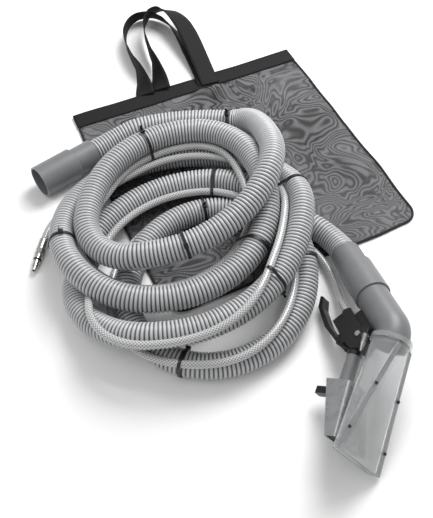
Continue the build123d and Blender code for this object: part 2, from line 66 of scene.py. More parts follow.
def add_node(tree, kind, settings=None, **inputs):
    """A node with its settings; an input given as a socket is linked, any other is set."""
    made = tree.nodes.new(kind)
    for name, value in (settings or {}).items():
        setattr(made, name, value)
    for name, value in inputs.items():
        key = int(name[1:]) if name[0] == "i" and name[1:].isdigit() else name.replace("_", " ")
        if isinstance(value, bpy.types.NodeSocket):
            tree.links.new(value, made.inputs[key])
        else:
            made.inputs[key].default_value = value
    return made


def new_finish(name, **sockets):
    """An empty material with its main shader's sockets set."""
    finish = bpy.data.materials.new(name)
    finish.use_nodes = True
    shader = finish.node_tree.nodes["Principled BSDF"]
    for socket, value in sockets.items():
        shader.inputs[socket.replace("_", " ")].default_value = value
    return finish, finish.node_tree, shader


paper, _, _ = new_finish("white_paper_sweep", Base_Color=linear("#f7f7f7"), Roughness=0.9)
table_mesh.materials.append(paper)

camera_data = bpy.data.cameras.new("camera")
camera_data.sensor_fit = "VERTICAL"
camera_data.sensor_height = 36.0
camera_data.lens = 59.07
camera = bpy.data.objects.new("camera", camera_data)
camera.location = (-0.035, -1.0552, 1.1269)
camera.rotation_euler = (math.radians(37.0), 0.0, 0.0)
bpy.context.scene.collection.objects.link(camera)
bpy.context.scene.camera = camera

for lamp_name, power, size, place, aim in (
    ("soft_box", 46.0, 1.2, (0.55, 0.95, 1.6), (-0.05, -0.15, 0.0)),
    ("front_fill", 8.0, 1.8, (-1.3, -0.7, 1.6), (-0.05, -0.15, 0.0)),
):
    lamp_data = bpy.data.lights.new(lamp_name, "AREA")
    lamp_data.energy = power
    lamp_data.size = size
    lamp = bpy.data.objects.new(lamp_name, lamp_data)
    lamp.location = place
    lamp.rotation_euler = (Vector(aim) - Vector(place)).to_track_quat("-Z", "Y").to_euler()
    bpy.context.scene.collection.objects.link(lamp)
sky = bpy.data.worlds.new("studio_air")
bpy.context.scene.world = sky
sky.use_nodes = True
sky.node_tree.nodes["Background"].inputs["Color"].default_value = linear("#ffffff")
sky.node_tree.nodes["Background"].inputs["Strength"].default_value = 0.50
bpy.context.scene.view_settings.view_transform = "Standard"


# ------------------------------------------------------------------ mesh bag
# Flat carry bag of open polyester mesh, two layers sewn together in a
# black piping on three sides, with a folded black hem along its mouth. It lies on the
# table, pressed flat under the coil and lightly creased outside it.
BAG_TURN = math.radians(25.4)
BAG_WIDTH = 0.470
BAG_HEIGHT = 0.490
NET_THICK = 0.0004
LOWER_LIFT = 0.0006
UPPER_LIFT = 0.0024
HEM = 0.034
HEM_LIFT = 0.0034
HEM_THICK = 0.0030
PIPING_R = 0.0022
PIPING_LIFT = 0.0026
CORNER = 0.028
crease_lines = (
    ((0.030, 0.205), (0.120, 0.170), 0.0060, 0.010),
    ((0.120, 0.170), (0.225, 0.150), 0.0045, 0.008),
    ((0.100, -0.030), (0.225, 0.005), 0.0050, 0.012),
    ((0.040, 0.120), (0.060, 0.215), 0.0035, 0.009),
)


def lie_on_table(across, along, lift):
    """A point of the flat bag where it lies: turned, a little out of square, wavy and creased."""
    edge = max(abs(across) / (BAG_WIDTH / 2), abs(along) / (BAG_HEIGHT / 2))
    slack = noise.noise(Vector((across * 11, along * 11, 0.7)))
    wander = edge ** 4 * 0.0035
    x = across + wander * noise.noise(Vector((along * 14, 3.1, across * 3)))
    y = along + wander * noise.noise(Vector((across * 14, 7.7, along * 3)))
    left = max(0.0, -across / (BAG_WIDTH / 2))
    top = max(0.0, along / (BAG_HEIGHT / 2))
    x += 0.012 * left * top
    y += 0.004 * left * top
    turned = Vector((
        x * math.cos(BAG_TURN) - y * math.sin(BAG_TURN), x * math.sin(BAG_TURN) + y * math.cos(BAG_TURN), 0,
    ))
    pressed = math.hypot((turned.x + 0.085) / 0.235, (turned.y + 0.172) / 0.285)
    free = min(max((pressed - 1.0) / 0.22, 0.0), 1.0)
    free = free * free * (3 - 2 * free)
    height = 0.0016 * (slack + 0.6)
    for start, end, rise, width in crease_lines:
        run = (end[0] - start[0], end[1] - start[1])
        share = ((across - start[0]) * run[0] + (along - start[1]) * run[1]) / (run[0] ** 2 + run[1] ** 2)
        share = min(max(share, 0.0), 1.0)
        away = math.hypot(across - start[0] - share * run[0], along - start[1] - share * run[1])
        height += rise * math.exp(-(away / width) ** 2)
    turned.z = lift + free * height * (0.35 + 0.65 * (1 - edge ** 6))
    return turned


# Polyester mesh: a black net so open that the pale table shows through. The two layers'
# nets are pulled out of true in different ways, and where one lies over the other they
# beat into dark and light rings, some 5 to 10 mm apart. The threads, 0.4 mm apart, are too
# fine to draw, so each layer draws rings of its own, far denser in the upper one, broken
# by the coarser beat of its weave.
WEAVE_BEAT = 0.0034
RINGS_PER_PULL = 26
nets = []
for layer, seed, closed, open_most in (("lower", 3.0, 0.50, 0.30), ("upper", 11.0, 0.96, 0.45)):
    net, tree, shader = new_finish(f"black_polyester_net_{layer}", Roughness=0.6)
    shader.inputs["Specular IOR Level"].default_value = 0.3
    place = add_node(tree, "ShaderNodeUVMap", {"uv_map": "cloth"})
    shift = add_node(tree, "ShaderNodeMapping", Vector=place.outputs["UV"], Location=(seed, seed, seed))
    pull = add_node(
        tree, "ShaderNodeTexNoise", Vector=shift.outputs["Vector"],
        Scale=8.5, Detail=2.2, Roughness=0.5, Distortion=0.9,
    )
    rings = add_node(
        tree, "ShaderNodeMath", {"operation": "MULTIPLY"},
        i0=pull.outputs["Fac"], i1=2 * math.pi * RINGS_PER_PULL,
    )
    ripple = add_node(tree, "ShaderNodeMath", {"operation": "SINE"}, i0=rings.outputs[0])
    split = add_node(tree, "ShaderNodeSeparateXYZ", Vector=place.outputs["UV"])
    threads = []
    for axis in ("X", "Y"):
        turned_by = add_node(
            tree, "ShaderNodeMath", {"operation": "MULTIPLY"},
            i0=split.outputs[axis], i1=2 * math.pi / WEAVE_BEAT,
        )
        wave = add_node(tree, "ShaderNodeMath", {"operation": "SINE"}, i0=turned_by.outputs[0])
        threads.append(wave.outputs[0])
    crossing = add_node(tree, "ShaderNodeMath", {"operation": "MULTIPLY"}, i0=threads[0], i1=threads[1])
    drift = add_node(tree, "ShaderNodeTexNoise", Vector=shift.outputs["Vector"], Scale=9.0, Detail=2.0)
    beaten = add_node(
        tree, "ShaderNodeMath", {"operation": "MULTIPLY_ADD"},
        i0=crossing.outputs[0], i1=1.0, i2=ripple.outputs[0],
    )
    clouded = add_node(
        tree, "ShaderNodeMath", {"operation": "MULTIPLY_ADD"},
        i0=drift.outputs["Fac"], i1=3.4, i2=beaten.outputs[0],
    )
    weave = add_node(tree, "ShaderNodeMapRange", Value=clouded.outputs[0], From_Min=0.3, From_Max=3.0)
    cover = add_node(
        tree, "ShaderNodeMapRange", Value=weave.outputs["Result"], To_Min=open_most, To_Max=closed,
    )
    tree.links.new(cover.outputs["Result"], shader.inputs["Alpha"])
    tone = add_node(tree, "ShaderNodeValToRGB", i0=weave.outputs["Result"])
    tone.color_ramp.elements[0].color = linear("#8b8b8e")
    tone.color_ramp.elements[1].color = linear("#0c0c0e")
    tree.links.new(tone.outputs["Color"], shader.inputs["Base Color"])
    nets.append(net)

for layer, lift, finish in (("bag_lower_mesh", LOWER_LIFT, nets[0]), ("bag_upper_mesh", UPPER_LIFT, nets[1])):
    cloth = bmesh.new()
    wrap = cloth.loops.layers.uv.new("cloth")
    bmesh.ops.create_grid(cloth, x_segments=94, y_segments=98, size=0.5)
    for corner in cloth.verts:
        across = corner.co.x * (BAG_WIDTH - 2 * PIPING_R)
        along = corner.co.y * (BAG_HEIGHT - PIPING_R) - PIPING_R / 2
        inner_x = BAG_WIDTH / 2 - PIPING_R - CORNER
        inner_y = BAG_HEIGHT / 2 - CORNER
        if abs(across) > inner_x and along < -inner_y:
            off_x = abs(across) - inner_x
            off_y = -along - inner_y
            pull_in = max(off_x, off_y) / math.hypot(off_x, off_y)
            across = math.copysign(inner_x + off_x * pull_in, across)
            along = -inner_y - off_y * pull_in
        corner.co = (across, along, 0)
    for face in cloth.faces:
        face.smooth = True
        for corner in face.loops:
            corner[wrap].uv = (corner.vert.co.x, corner.vert.co.y)
    for corner in cloth.verts:
        corner.co = lie_on_table(corner.co.x, corner.co.y, lift)
    mesh = bpy.data.meshes.new(layer)
    cloth.to_mesh(mesh)
    cloth.free()
    mesh.materials.append(finish)
    sheet = bpy.data.objects.new(layer, mesh)
    bpy.context.scene.collection.objects.link(sheet)
    doubled = sheet.modifiers.new("cloth_thickness", "SOLIDIFY")
    doubled.thickness = NET_THICK
    doubled.offset = 0.0
    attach(sheet, "kit")
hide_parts("bag_back_panel")
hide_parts("bag_front_panel")

# Black webbing, woven of polypropylene: matt, with close ribs across the strap.
RIB_SPACING = 0.0026
PICK_SPACING = 0.0020
webbing, tree, shader = new_finish("black_polypropylene_webbing", Roughness=0.72)
shader.inputs["Specular IOR Level"].default_value = 0.25
place = add_node(tree, "ShaderNodeUVMap", {"uv_map": "cloth"})
ribs = add_node(
    tree, "ShaderNodeTexWave", {"wave_type": "BANDS", "bands_direction": "X"},
    Vector=place.outputs["UV"], Scale=2 * math.pi / RIB_SPACING / 20, Distortion=0.4,
)
picks = add_node(
    tree, "ShaderNodeTexWave", {"wave_type": "BANDS", "bands_direction": "Y"},
    Vector=place.outputs["UV"], Scale=2 * math.pi / PICK_SPACING / 20, Distortion=0.2,
)
woven = add_node(
    tree, "ShaderNodeMath", {"operation": "MULTIPLY"}, i0=ribs.outputs["Fac"], i1=picks.outputs["Fac"],
)
tone = add_node(tree, "ShaderNodeValToRGB", i0=woven.outputs[0])
tone.color_ramp.elements[0].color = linear("#0a0a0b")
tone.color_ramp.elements[1].color = linear("#252527")
tree.links.new(tone.outputs["Color"], shader.inputs["Base Color"])
raised = add_node(tree, "ShaderNodeBump", Strength=0.5, Distance=0.0004, Height=woven.outputs[0])
tree.links.new(raised.outputs["Normal"], shader.inputs["Normal"])


def lay_route(name, points):
    """A hose's route as one smooth NURBS line."""
    curve = bpy.data.curves.new(name, "CURVE")
    curve.dimensions = "3D"
    curve.resolution_u = 10
    spline = curve.splines.new("NURBS")
    spline.points.add(len(points) - 1)
    for spot, point in zip(spline.points, points):
        spot.co = (*point, 1.0)
    spline.order_u = 3
    spline.use_endpoint_u = True
    route = bpy.data.objects.new(name, curve)
    bpy.context.scene.collection.objects.link(route)
    return route


def read_line(route):
    """The points of a route's smooth line, in order."""
    bpy.context.view_layer.update()
    mesh = bpy.data.meshes.new_from_object(route)
    spots = [vertex.co.copy() for vertex in mesh.vertices]
    bpy.data.meshes.remove(mesh)
    return spots


def tape(name, mids, sides, width, thickness, finish):
    """A flat strap along a line of middles; each side vector points across it."""
    strip = bmesh.new()
    wrap = strip.loops.layers.uv.new("cloth")
    count = len(mids) - 1
    bmesh.ops.create_grid(strip, x_segments=count, y_segments=6, size=0.5)
    run = [0.0]
    for before, after in zip(mids, mids[1:]):
        run.append(run[-1] + (after - before).length)
    for face in strip.faces:
        face.smooth = True
        for corner in face.loops:
            number = round((corner.vert.co.x + 0.5) * count)
            corner[wrap].uv = (run[number], corner.vert.co.y * width)
    for corner in strip.verts:
        number = round((corner.co.x + 0.5) * count)
        corner.co = mids[number] + sides[number] * corner.co.y * width
    mesh = bpy.data.meshes.new(name)
    strip.to_mesh(mesh)
    strip.free()
    mesh.materials.append(finish)
    strap = bpy.data.objects.new(name, mesh)
    bpy.context.scene.collection.objects.link(strap)
    woven_through = strap.modifiers.new("webbing_thickness", "SOLIDIFY")
    woven_through.thickness = thickness
    woven_through.offset = 0.0
    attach(strap, "kit")
    return strap


hem_spots = [(-BAG_WIDTH / 2 + BAG_WIDTH * step / 90, BAG_HEIGHT / 2 - HEM / 2) for step in range(91)]
hem_mids = [lie_on_table(across, along, HEM_LIFT) for across, along in hem_spots]
hem_sides = [
    (lie_on_table(across, along + HEM / 2, HEM_LIFT) - lie_on_table(across, along - HEM / 2, HEM_LIFT)) / HEM
    for across, along in hem_spots
]
hem = tape("bag_hem_tape", hem_mids, hem_sides, HEM, HEM_THICK, webbing)
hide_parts("bag_hem")

half_width = BAG_WIDTH / 2 - PIPING_R
half_height = BAG_HEIGHT / 2 - PIPING_R
edge_spots = [(-half_width, half_height - step * 0.0145) for step in range(32)]
edge_spots += [
    (-half_width + CORNER - CORNER * math.cos(turn), -half_height + CORNER - CORNER * math.sin(turn))
    for turn in (math.pi / 2 * step / 6 for step in range(1, 6))
]
edge_spots += [(-half_width + CORNER + step * 0.0137, -half_height) for step in range(31)]
edge_spots += [
    (half_width - CORNER + CORNER * math.sin(turn), -half_height + CORNER - CORNER * math.cos(turn))
    for turn in (math.pi / 2 * step / 6 for step in range(1, 6))
]
edge_spots += [(half_width, -half_height + CORNER + step * 0.0145) for step in range(32)]
edge_route = lay_route("piping_route", [lie_on_table(*spot, PIPING_LIFT) for spot in edge_spots])
edge_route.data.bevel_depth = PIPING_R
edge_route.data.bevel_resolution = 3
edge_route.data.use_fill_caps = True
edge_route.data.resolution_u = 3
bpy.context.view_layer.update()
piping_mesh = bpy.data.meshes.new_from_object(edge_route)
bpy.data.objects.remove(edge_route)
binding, tree, shader = new_finish("black_polyester_binding", Base_Color=linear("#1a1a1b"), Roughness=0.8)
place = add_node(tree, "ShaderNodeTexCoord")
weave = add_node(tree, "ShaderNodeTexNoise", Vector=place.outputs["Object"], Scale=900.0, Detail=2.0)
raised = add_node(tree, "ShaderNodeBump", Strength=0.5, Distance=0.0003, Height=weave.outputs["Fac"])
tree.links.new(raised.outputs["Normal"], shader.inputs["Normal"])
piping_mesh.materials.clear()
piping_mesh.materials.append(binding)
piping = bpy.data.objects.new("bag_edge_piping", piping_mesh)
bpy.context.scene.collection.objects.link(piping)
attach(piping, "kit")
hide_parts("bag_piping")


# ------------------------------------------------------------------ bag handles
# Two loops of 36 mm webbing, one from each side of the bag's mouth, sewn flat to the
# hem. They stand on their edges where they were let go, and the front one's right leg
# has dropped flat on the other.
STRAP_WIDTH = 0.036
STRAP_THICK = 0.0016
handle_routes = (
    # x, y, height of the strap's middle, and how far it leans over from upright, in degrees
    ("handle_back_strap", "handle_back", (
        (-0.172, 0.186, 0.0062, 84), (-0.176, 0.206, 0.012, 30), (-0.190, 0.250, 0.019, -5),
        (-0.210, 0.295, 0.019, -8), (-0.223, 0.340, 0.019, -5), (-0.219, 0.385, 0.019, 10),
        (-0.198, 0.414, 0.019, 28), (-0.168, 0.418, 0.019, 34), (-0.134, 0.392, 0.019, 30),
        (-0.104, 0.340, 0.017, 45), (-0.080, 0.290, 0.010, 70), (-0.064, 0.250, 0.0072, 84),
        (-0.058, 0.225, 0.0066, 88), (-0.053, 0.214, 0.0062, 90),
    )),
    ("handle_front_strap", "handle_front", (
        (-0.142, 0.200, 0.0082, 84), (-0.146, 0.220, 0.014, 34), (-0.158, 0.262, 0.024, 0),
        (-0.174, 0.312, 0.028, -4), (-0.184, 0.358, 0.030, 0), (-0.180, 0.394, 0.032, 10),
        (-0.160, 0.417, 0.034, 34), (-0.130, 0.408, 0.036, 62), (-0.106, 0.372, 0.036, 80),
        (-0.088, 0.328, 0.033, 86), (-0.072, 0.284, 0.024, 88), (-0.058, 0.248, 0.0130, 88),
        (-0.052, 0.230, 0.0096, 88), (-0.047, 0.216, 0.0088, 90),
    )),
)
for name, node, marks in handle_routes:
    route = lay_route(name + "_route", [mark[:3] for mark in marks])
    mids = read_line(route)
    bpy.data.objects.remove(route)
    sides = []
    for number, middle in enumerate(mids):
        run = (mids[min(number + 1, len(mids) - 1)] - mids[max(number - 1, 0)]).normalized()
        spot = (len(marks) - 1) * number / (len(mids) - 1)
        before = min(int(spot), len(marks) - 2)
        lean = math.radians(marks[before][3] + (marks[before + 1][3] - marks[before][3]) * (spot - before))
        flat = Vector((run.y, -run.x, 0)).normalized()
        sides.append((Vector((0, 0, 1)) * math.cos(lean) + flat * math.sin(lean)).normalized())
    strap = tape(name, mids, sides, STRAP_WIDTH, STRAP_THICK, webbing)
    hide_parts(node)
    if node == "handle_back":
        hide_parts("handle_patches")


# ------------------------------------------------------------------ vacuum hose
# Grey crush-proof EVA hose, blown in soft rings, that lies where it was let fall:
# from the hand tool it is wound four times round, each turn a little higher, and
# its last stretch drops behind the coil to the cuff that goes on the machine.
HOSE_R = 0.021
SHOULDER_R = 0.0205
VALLEY_R = 0.0181
RING_PITCH = 0.0061
LINE_R = 0.00635
tool_stretch = (
    (0.1750, -0.2256, 0.0349), (0.1702, -0.2079, 0.0297), (0.154, -0.182, 0.024),
    (0.134, -0.161, 0.0245), (0.109, -0.145, 0.025),
)
under_coil = ((0.081, -0.130, 0.0245), (0.050, -0.123, 0.0245), (0.015, -0.122, 0.0245))
turn_marks = (
    # a turn's furthest points, far, left, near and right: x, y, height, height half way on
    (-0.026, -0.118, 0.0245, 0.0245), (-0.177, -0.288, 0.022, 0.022),
    (-0.048, -0.422, 0.024, 0.025), (0.107, -0.257, 0.055, 0.070),
    (-0.058, -0.068, 0.040, 0.037), (-0.260, -0.271, 0.034, 0.049),
    (-0.125, -0.396, 0.064, 0.074), (0.101, -0.162, 0.084, 0.072),
    (-0.082, 0.000, 0.060, 0.065), (-0.287, -0.180, 0.070, 0.077),
    (-0.135, -0.333, 0.084, 0.102), (0.048, -0.158, 0.120, 0.116),
    (-0.076, 0.019, 0.112, 0.112), (-0.246, -0.172, 0.112, 0.118),
    (-0.157, -0.264, 0.125, 0.137), (0.055, -0.085, 0.150, 0.135),
    (0.003, 0.057, 0.120, 0.120),
)
behind_coil = ((-0.018, 0.062, 0.080), (-0.065, 0.068, 0.070), (-0.119, 0.068, 0.058))
machine_stretch = (
    (-0.173, 0.059, 0.041), (-0.197, 0.050, 0.035), (-0.219, 0.038, 0.030),
    (-0.2405, 0.0228, 0.0282), (-0.2576, 0.0088, 0.0282),
)
QUARTER = 8
hose_points = list(tool_stretch + under_coil) + [turn_marks[0][:3]]
for mark, (here, there) in enumerate(zip(turn_marks, turn_marks[1:])):
    for step in range(1, QUARTER + 1):
        swing = math.pi / 2 * step / QUARTER
        share = step / QUARTER
        if mark % 2 == 0:
            x = here[0] + (there[0] - here[0]) * math.sin(swing)
            y = there[1] + (here[1] - there[1]) * math.cos(swing)
        else:
            x = there[0] + (here[0] - there[0]) * math.cos(swing)
            y = here[1] + (there[1] - here[1]) * math.sin(swing)
        if share < 0.5:
            z = here[2] + (here[3] - here[2]) * 2 * share
        else:
            z = here[3] + (there[2] - here[3]) * (2 * share - 1)
        hose_points.append((x, y, z))
hose_points += list(behind_coil + machine_stretch)


def ground(points, radius):
    """The lowest that a hose's middle can lie: on the bag where the bag is, else on the table."""
    across = points[:, 0] * math.cos(BAG_TURN) + points[:, 1] * math.sin(BAG_TURN)
    along = points[:, 1] * math.cos(BAG_TURN) - points[:, 0] * math.sin(BAG_TURN)
    on_bag = (abs(across) < BAG_WIDTH / 2 + 0.01) & (abs(along) < BAG_HEIGHT / 2 + 0.01)
    return np.where(on_bag, radius + 0.0036, radius + 0.0004)


def spread(count):
    """How the points of the finished line hang on the points that shape it."""
    shares = np.zeros((2 * count - 1, count))
    for number in range(count):
        inner = 0 < number < count - 1
        shares[2 * number, number] = 0.75 if inner else 1.0
        if inner:
            shares[2 * number, [number - 1, number + 1]] = 0.125
        if number < count - 1:
            shares[2 * number + 1, [number, number + 1]] = 0.5
    return shares


def settle(points, ends, gap, radius, fall, hold, others=None, other_gap=0.0, sideways=0.6, steps=500):
    """Let a hose sink until it rests on the table, the bag, itself and the other hose."""
    line = np.array(points, float)
    wanted = line.copy()
    shares = spread(len(line))
    weight = shares.sum(0)[:, None]
    order = np.arange(len(shares))
    apart = abs(order[:, None] - order[None, :]) > 9
    loose = np.ones(len(line), bool)
    loose[:ends[0]] = False
    loose[len(line) - ends[1]:] = False
    lift = np.array((sideways, sideways, 1.2))
    for step in range(steps):
        line[loose, 2] -= fall * (1 - step / steps)
        bend = np.zeros_like(line)
        bend[1:-1] = (line[:-2] + line[2:]) / 2 - line[1:-1]
        line[loose, 2] += 0.30 * bend[loose, 2]
        line[loose, :2] += hold * (wanted[loose, :2] - line[loose, :2])
        spots = shares @ line
        moved = np.zeros_like(spots)
        for rivals, reach, test in ((spots, gap, apart), (others, other_gap, True)):
            if rivals is None:
                continue
            offset = spots[:, None, :] - rivals[None, :, :]
            distance = np.maximum(np.linalg.norm(offset, axis=2), 1e-7)
            touching = test & (distance < reach)
            push = np.where(touching, (reach - distance) / distance, 0)[:, :, None] * offset * lift
            moved += push.sum(1) / np.sqrt(np.maximum(touching.sum(1), 1))[:, None] * 0.5
        line[loose] += ((shares.T @ moved) / weight)[loose]
        line[:, 2] = np.where(loose, np.maximum(line[:, 2], ground(line, radius)), line[:, 2])
    return line


hose_line = settle(hose_points, (5, 5), 0.043, HOSE_R, 0.0005, 0.12)


def thread_on(name, route, length, profile, sides, finish):
    """One short turned piece, repeated along a route and bent to it, closed at both ends."""
    piece = bmesh.new()
    chain = [piece.verts.new((along, 0, radius)) for along, radius in profile]
    edges = [piece.edges.new(pair) for pair in zip(chain, chain[1:])]
    bmesh.ops.spin(
        piece, geom=chain + edges, cent=(0, 0, 0), axis=(1, 0, 0),
        angle=2 * math.pi, steps=sides, use_merge=True,
    )
    wrap = piece.loops.layers.uv.new("along_hose")
    pitch = profile[-1][0]
    for face in piece.faces:
        middle = face.calc_center_median()
        centre = math.atan2(middle.y, middle.z)
        for corner in face.loops:
            turn = math.atan2(corner.vert.co.y, corner.vert.co.z)
            turn += 2 * math.pi * round((centre - turn) / (2 * math.pi))
            corner[wrap].uv = (turn / (2 * math.pi), corner.vert.co.x / pitch)
        face.smooth = True
    mesh = bpy.data.meshes.new(name)
    piece.to_mesh(mesh)
    piece.free()
    threaded = bpy.data.objects.new(name, mesh)
    bpy.context.scene.collection.objects.link(threaded)
    row = threaded.modifiers.new("row", "ARRAY")
    row.count = max(1, round(length / pitch))
    row.use_relative_offset = False
    row.use_constant_offset = True
    row.constant_offset_displace = (pitch, 0, 0)
    row.use_merge_vertices = True
    row.merge_threshold = 0.00002
    bent = threaded.modifiers.new("bent", "CURVE")
    bent.object = route
    bent.deform_axis = "POS_X"
    bpy.context.view_layer.update()
    view = bpy.context.evaluated_depsgraph_get()
    baked = bpy.data.meshes.new_from_object(threaded.evaluated_get(view))
    threaded.modifiers.clear()
    threaded.data = baked
    bpy.data.meshes.remove(mesh)
    baked.name = name
    closing = bmesh.new()
    closing.from_mesh(baked)
    bmesh.ops.holes_fill(closing, edges=[edge for edge in closing.edges if edge.is_boundary], sides=0)
    bmesh.ops.recalc_face_normals(closing, faces=closing.faces)
    closing.to_mesh(baked)
    closing.free()
    baked.materials.clear()
    baked.materials.append(finish)
    return threaded


# Blown EVA: a satin skin, a little milky, with faint cloudy change along its length, and painted shade in the
# grooves between its rings.
eva, tree, shader = new_finish("blown_grey_eva", Roughness=0.36)
place = add_node(tree, "ShaderNodeTexCoord")
cloud = add_node(tree, "ShaderNodeTexNoise", Vector=place.outputs["Object"], Scale=18.0, Detail=3.0)
tone = add_node(tree, "ShaderNodeValToRGB", i0=cloud.outputs["Fac"])
tone.color_ramp.elements[0].color = linear("#b2b3b5")
tone.color_ramp.elements[1].color = linear("#c6c7c9")
rings = add_node(tree, "ShaderNodeUVMap", {"uv_map": "along_hose"})
split = add_node(tree, "ShaderNodeSeparateXYZ", Vector=rings.outputs["UV"])
# Painted shade: the grooves between the rings are painted dark grey (#4a4b4d) for the shade that falls in
# them, over the rings' real shape.
depth = add_node(tree, "ShaderNodeMath", {"operation": "PINGPONG"}, i0=split.outputs["Y"], i1=0.5)
groove = add_node(tree, "ShaderNodeMapRange", Value=depth.outputs[0], From_Min=0.08, From_Max=0.30)
painted_groove_shade = add_node(
    tree, "ShaderNodeMix", {"data_type": "RGBA"},
    i0=groove.outputs["Result"], i6=linear("#4a4b4d"), i7=tone.outputs["Color"],
)
tree.links.new(painted_groove_shade.outputs[2], shader.inputs["Base Color"])
skin = add_node(tree, "ShaderNodeTexNoise", Vector=place.outputs["Object"], Scale=900.0, Detail=2.0)
raised = add_node(tree, "ShaderNodeBump", Strength=0.12, Distance=0.0002, Height=skin.outputs["Fac"])
tree.links.new(raised.outputs["Normal"], shader.inputs["Normal"])

hose_route = lay_route("vacuum_hose_route", hose_line)
hose_path = read_line(hose_route)
hose_length = sum((b - a).length for a, b in zip(hose_path, hose_path[1:]))
ring_count = round(hose_length / RING_PITCH)
ring = hose_length / ring_count
hose_profile = (
    (0.0, VALLEY_R), (0.25 * ring, SHOULDER_R), (0.5 * ring, HOSE_R),
    (0.75 * ring, SHOULDER_R), (ring, VALLEY_R),
)
vacuum_hose = thread_on("vacuum_hose", hose_route, hose_length, hose_profile, 24, eva)
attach(vacuum_hose, "kit")
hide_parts("hose_coil", "vacuum_hose_machine_end", "vacuum_hose_tool_end")


# ------------------------------------------------------------------ solution hose
# Clear PVC hose with a woven white yarn between its two layers. It runs beside the
# vacuum hose from the tool's valve, now above it and now inside or outside the turn,
# and leaves it behind the coil for its own plug.
valve_stretch = (
    (0.1656, -0.3361, 0.0374), (0.1606, -0.3175, 0.0319), (0.160, -0.295, 0.021),
    (0.155, -0.262, 0.014), (0.143, -0.221, 0.011), (0.121, -0.190, 0.011), (0.098, -0.175, 0.012),
)
plug_stretch = (
    (-0.258, -0.062, 0.009), (-0.281, -0.084, 0.0072), (-0.302, -0.111, 0.007),
    (-0.315, -0.138, 0.0075), (-0.3212, -0.1569, 0.0086), (-0.3238, -0.1747, 0.0086),
)
leaves_bundle = (
    (-0.150, 0.045, 0.024), (-0.185, 0.018, 0.012), (-0.220, -0.018, 0.010), (-0.242, -0.042, 0.0095),
)
lean_marks = (
    # how far the solution hose leans over from the top of the vacuum hose at each mark of
    # the turns, in degrees: inwards is positive, and past 90 it lies below the middle
    -40, -60, -25, 40, 85, 70, -88, 80, 40, 120, 110, 80, 140, 170, 178, 170, 150,
)
BESIDE = 0.028
line_points = list(valve_stretch)
first_mark = len(tool_stretch) + len(under_coil)
last_mark = first_mark + QUARTER * (len(turn_marks) - 1)
for number in range(first_mark - 2, last_mark + 3):
    run = Vector(hose_line[number + 1]) - Vector(hose_line[number - 1])
    inward = Vector((-run.y, run.x, 0)).normalized()
    spot = min(max((number - first_mark) / QUARTER, 0), len(lean_marks) - 1.001)
    before = int(spot)
    blend = spot - before
    blend = blend * blend * (3 - 2 * blend)
    lean = math.radians(lean_marks[before] * (1 - blend) + lean_marks[before + 1] * blend)
    aside = inward * math.sin(lean) + Vector((0, 0, 1)) * math.cos(lean)
    line_points.append(tuple(Vector(hose_line[number]) + BESIDE * aside))
line_points += list(leaves_bundle + plug_stretch)
around_hose = spread(len(hose_line)) @ hose_line
line_line = settle(
    line_points, (7, 6), 0.0135, LINE_R, 0.00005, 0.05,
    others=around_hose, other_gap=0.0278, sideways=1.0, steps=400,
)

# Clear PVC: a glossy skin over white yarn crossed in a fine diamond braid. The yarn's
# diamonds are 2.6 mm wide, a little coarser than the real ones, so that they show.
braided, tree, shader = new_finish("clear_pvc_over_white_braid", Roughness=0.18, Coat_Weight=0.6)
shader.inputs["Coat Roughness"].default_value = 0.08
place = add_node(tree, "ShaderNodeUVMap", {"uv_map": "along_hose"})
split = add_node(tree, "ShaderNodeSeparateXYZ", Vector=place.outputs["UV"])
yarns = []
for way in (1, -1):
    carried = add_node(
        tree, "ShaderNodeMath", {"operation": "MULTIPLY"}, i0=split.outputs["X"], i1=16.0 * way * math.pi,
    )
    wound = add_node(
        tree, "ShaderNodeMath", {"operation": "MULTIPLY"}, i0=split.outputs["Y"], i1=4.0 * math.pi,
    )
    crossed = add_node(
        tree, "ShaderNodeMath", {"operation": "ADD"}, i0=carried.outputs[0], i1=wound.outputs[0],
    )
    wave = add_node(tree, "ShaderNodeMath", {"operation": "SINE"}, i0=crossed.outputs[0])
    yarns.append(wave.outputs[0])
either = add_node(tree, "ShaderNodeMath", {"operation": "MAXIMUM"}, i0=yarns[0], i1=yarns[1])
tone = add_node(tree, "ShaderNodeValToRGB", i0=either.outputs[0])
tone.color_ramp.elements[0].position = 0.45
tone.color_ramp.elements[0].color = linear("#858688")
tone.color_ramp.elements[1].position = 0.9
tone.color_ramp.elements[1].color = linear("#d6d6d5")
tree.links.new(tone.outputs["Color"], shader.inputs["Base Color"])

BRAID_REPEAT = 0.0105
line_route = lay_route("solution_hose_route", line_line)
line_path = read_line(line_route)
line_length = sum((b - a).length for a, b in zip(line_path, line_path[1:]))
piece_count = round(line_length / BRAID_REPEAT)
pitch = line_length / piece_count
line_profile = ((0.0, LINE_R), (pitch / 2, LINE_R), (pitch, LINE_R))
solution_hose = thread_on("solution_hose", line_route, line_length, line_profile, 16, braided)
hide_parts("solution_hose_machine_end", "solution_hose_tool_end")
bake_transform(solution_hose)


# ------------------------------------------------------------------ cable ties
# Black nylon ties, 5 mm wide, that hold the solution hose to the vacuum hose. Each is
# a strap pulled tight round both, through a square head, with its tail cut short.
nylon, tree, shader = new_finish("moulded_black_nylon", Base_Color=linear("#161617"), Roughness=0.38)
place = add_node(tree, "ShaderNodeTexCoord")
teeth = add_node(tree, "ShaderNodeTexWave", Vector=place.outputs["Object"], Scale=260.0, Distortion=0.6)
raised = add_node(tree, "ShaderNodeBump", Strength=0.2, Distance=0.0002, Height=teeth.outputs["Fac"])
tree.links.new(raised.outputs["Normal"], shader.inputs["Normal"])
TIE_WIDTH = 0.005
TIE_THICK = 0.0013
TIE_FLOOR = 0.0002
REACH_MOST = 0.045
tie_spots = (
    # where each tie is along the hose, in points of its route, and where its head sits
    (9.0, 40), (22.6, 70), (32.6, 20), (39.4, 60), (60.6, -30), (65.5, 80),
    (81.2, -75), (93.6, -20), (106.6, -35), (121.8, 35), (136.6, -45),
)
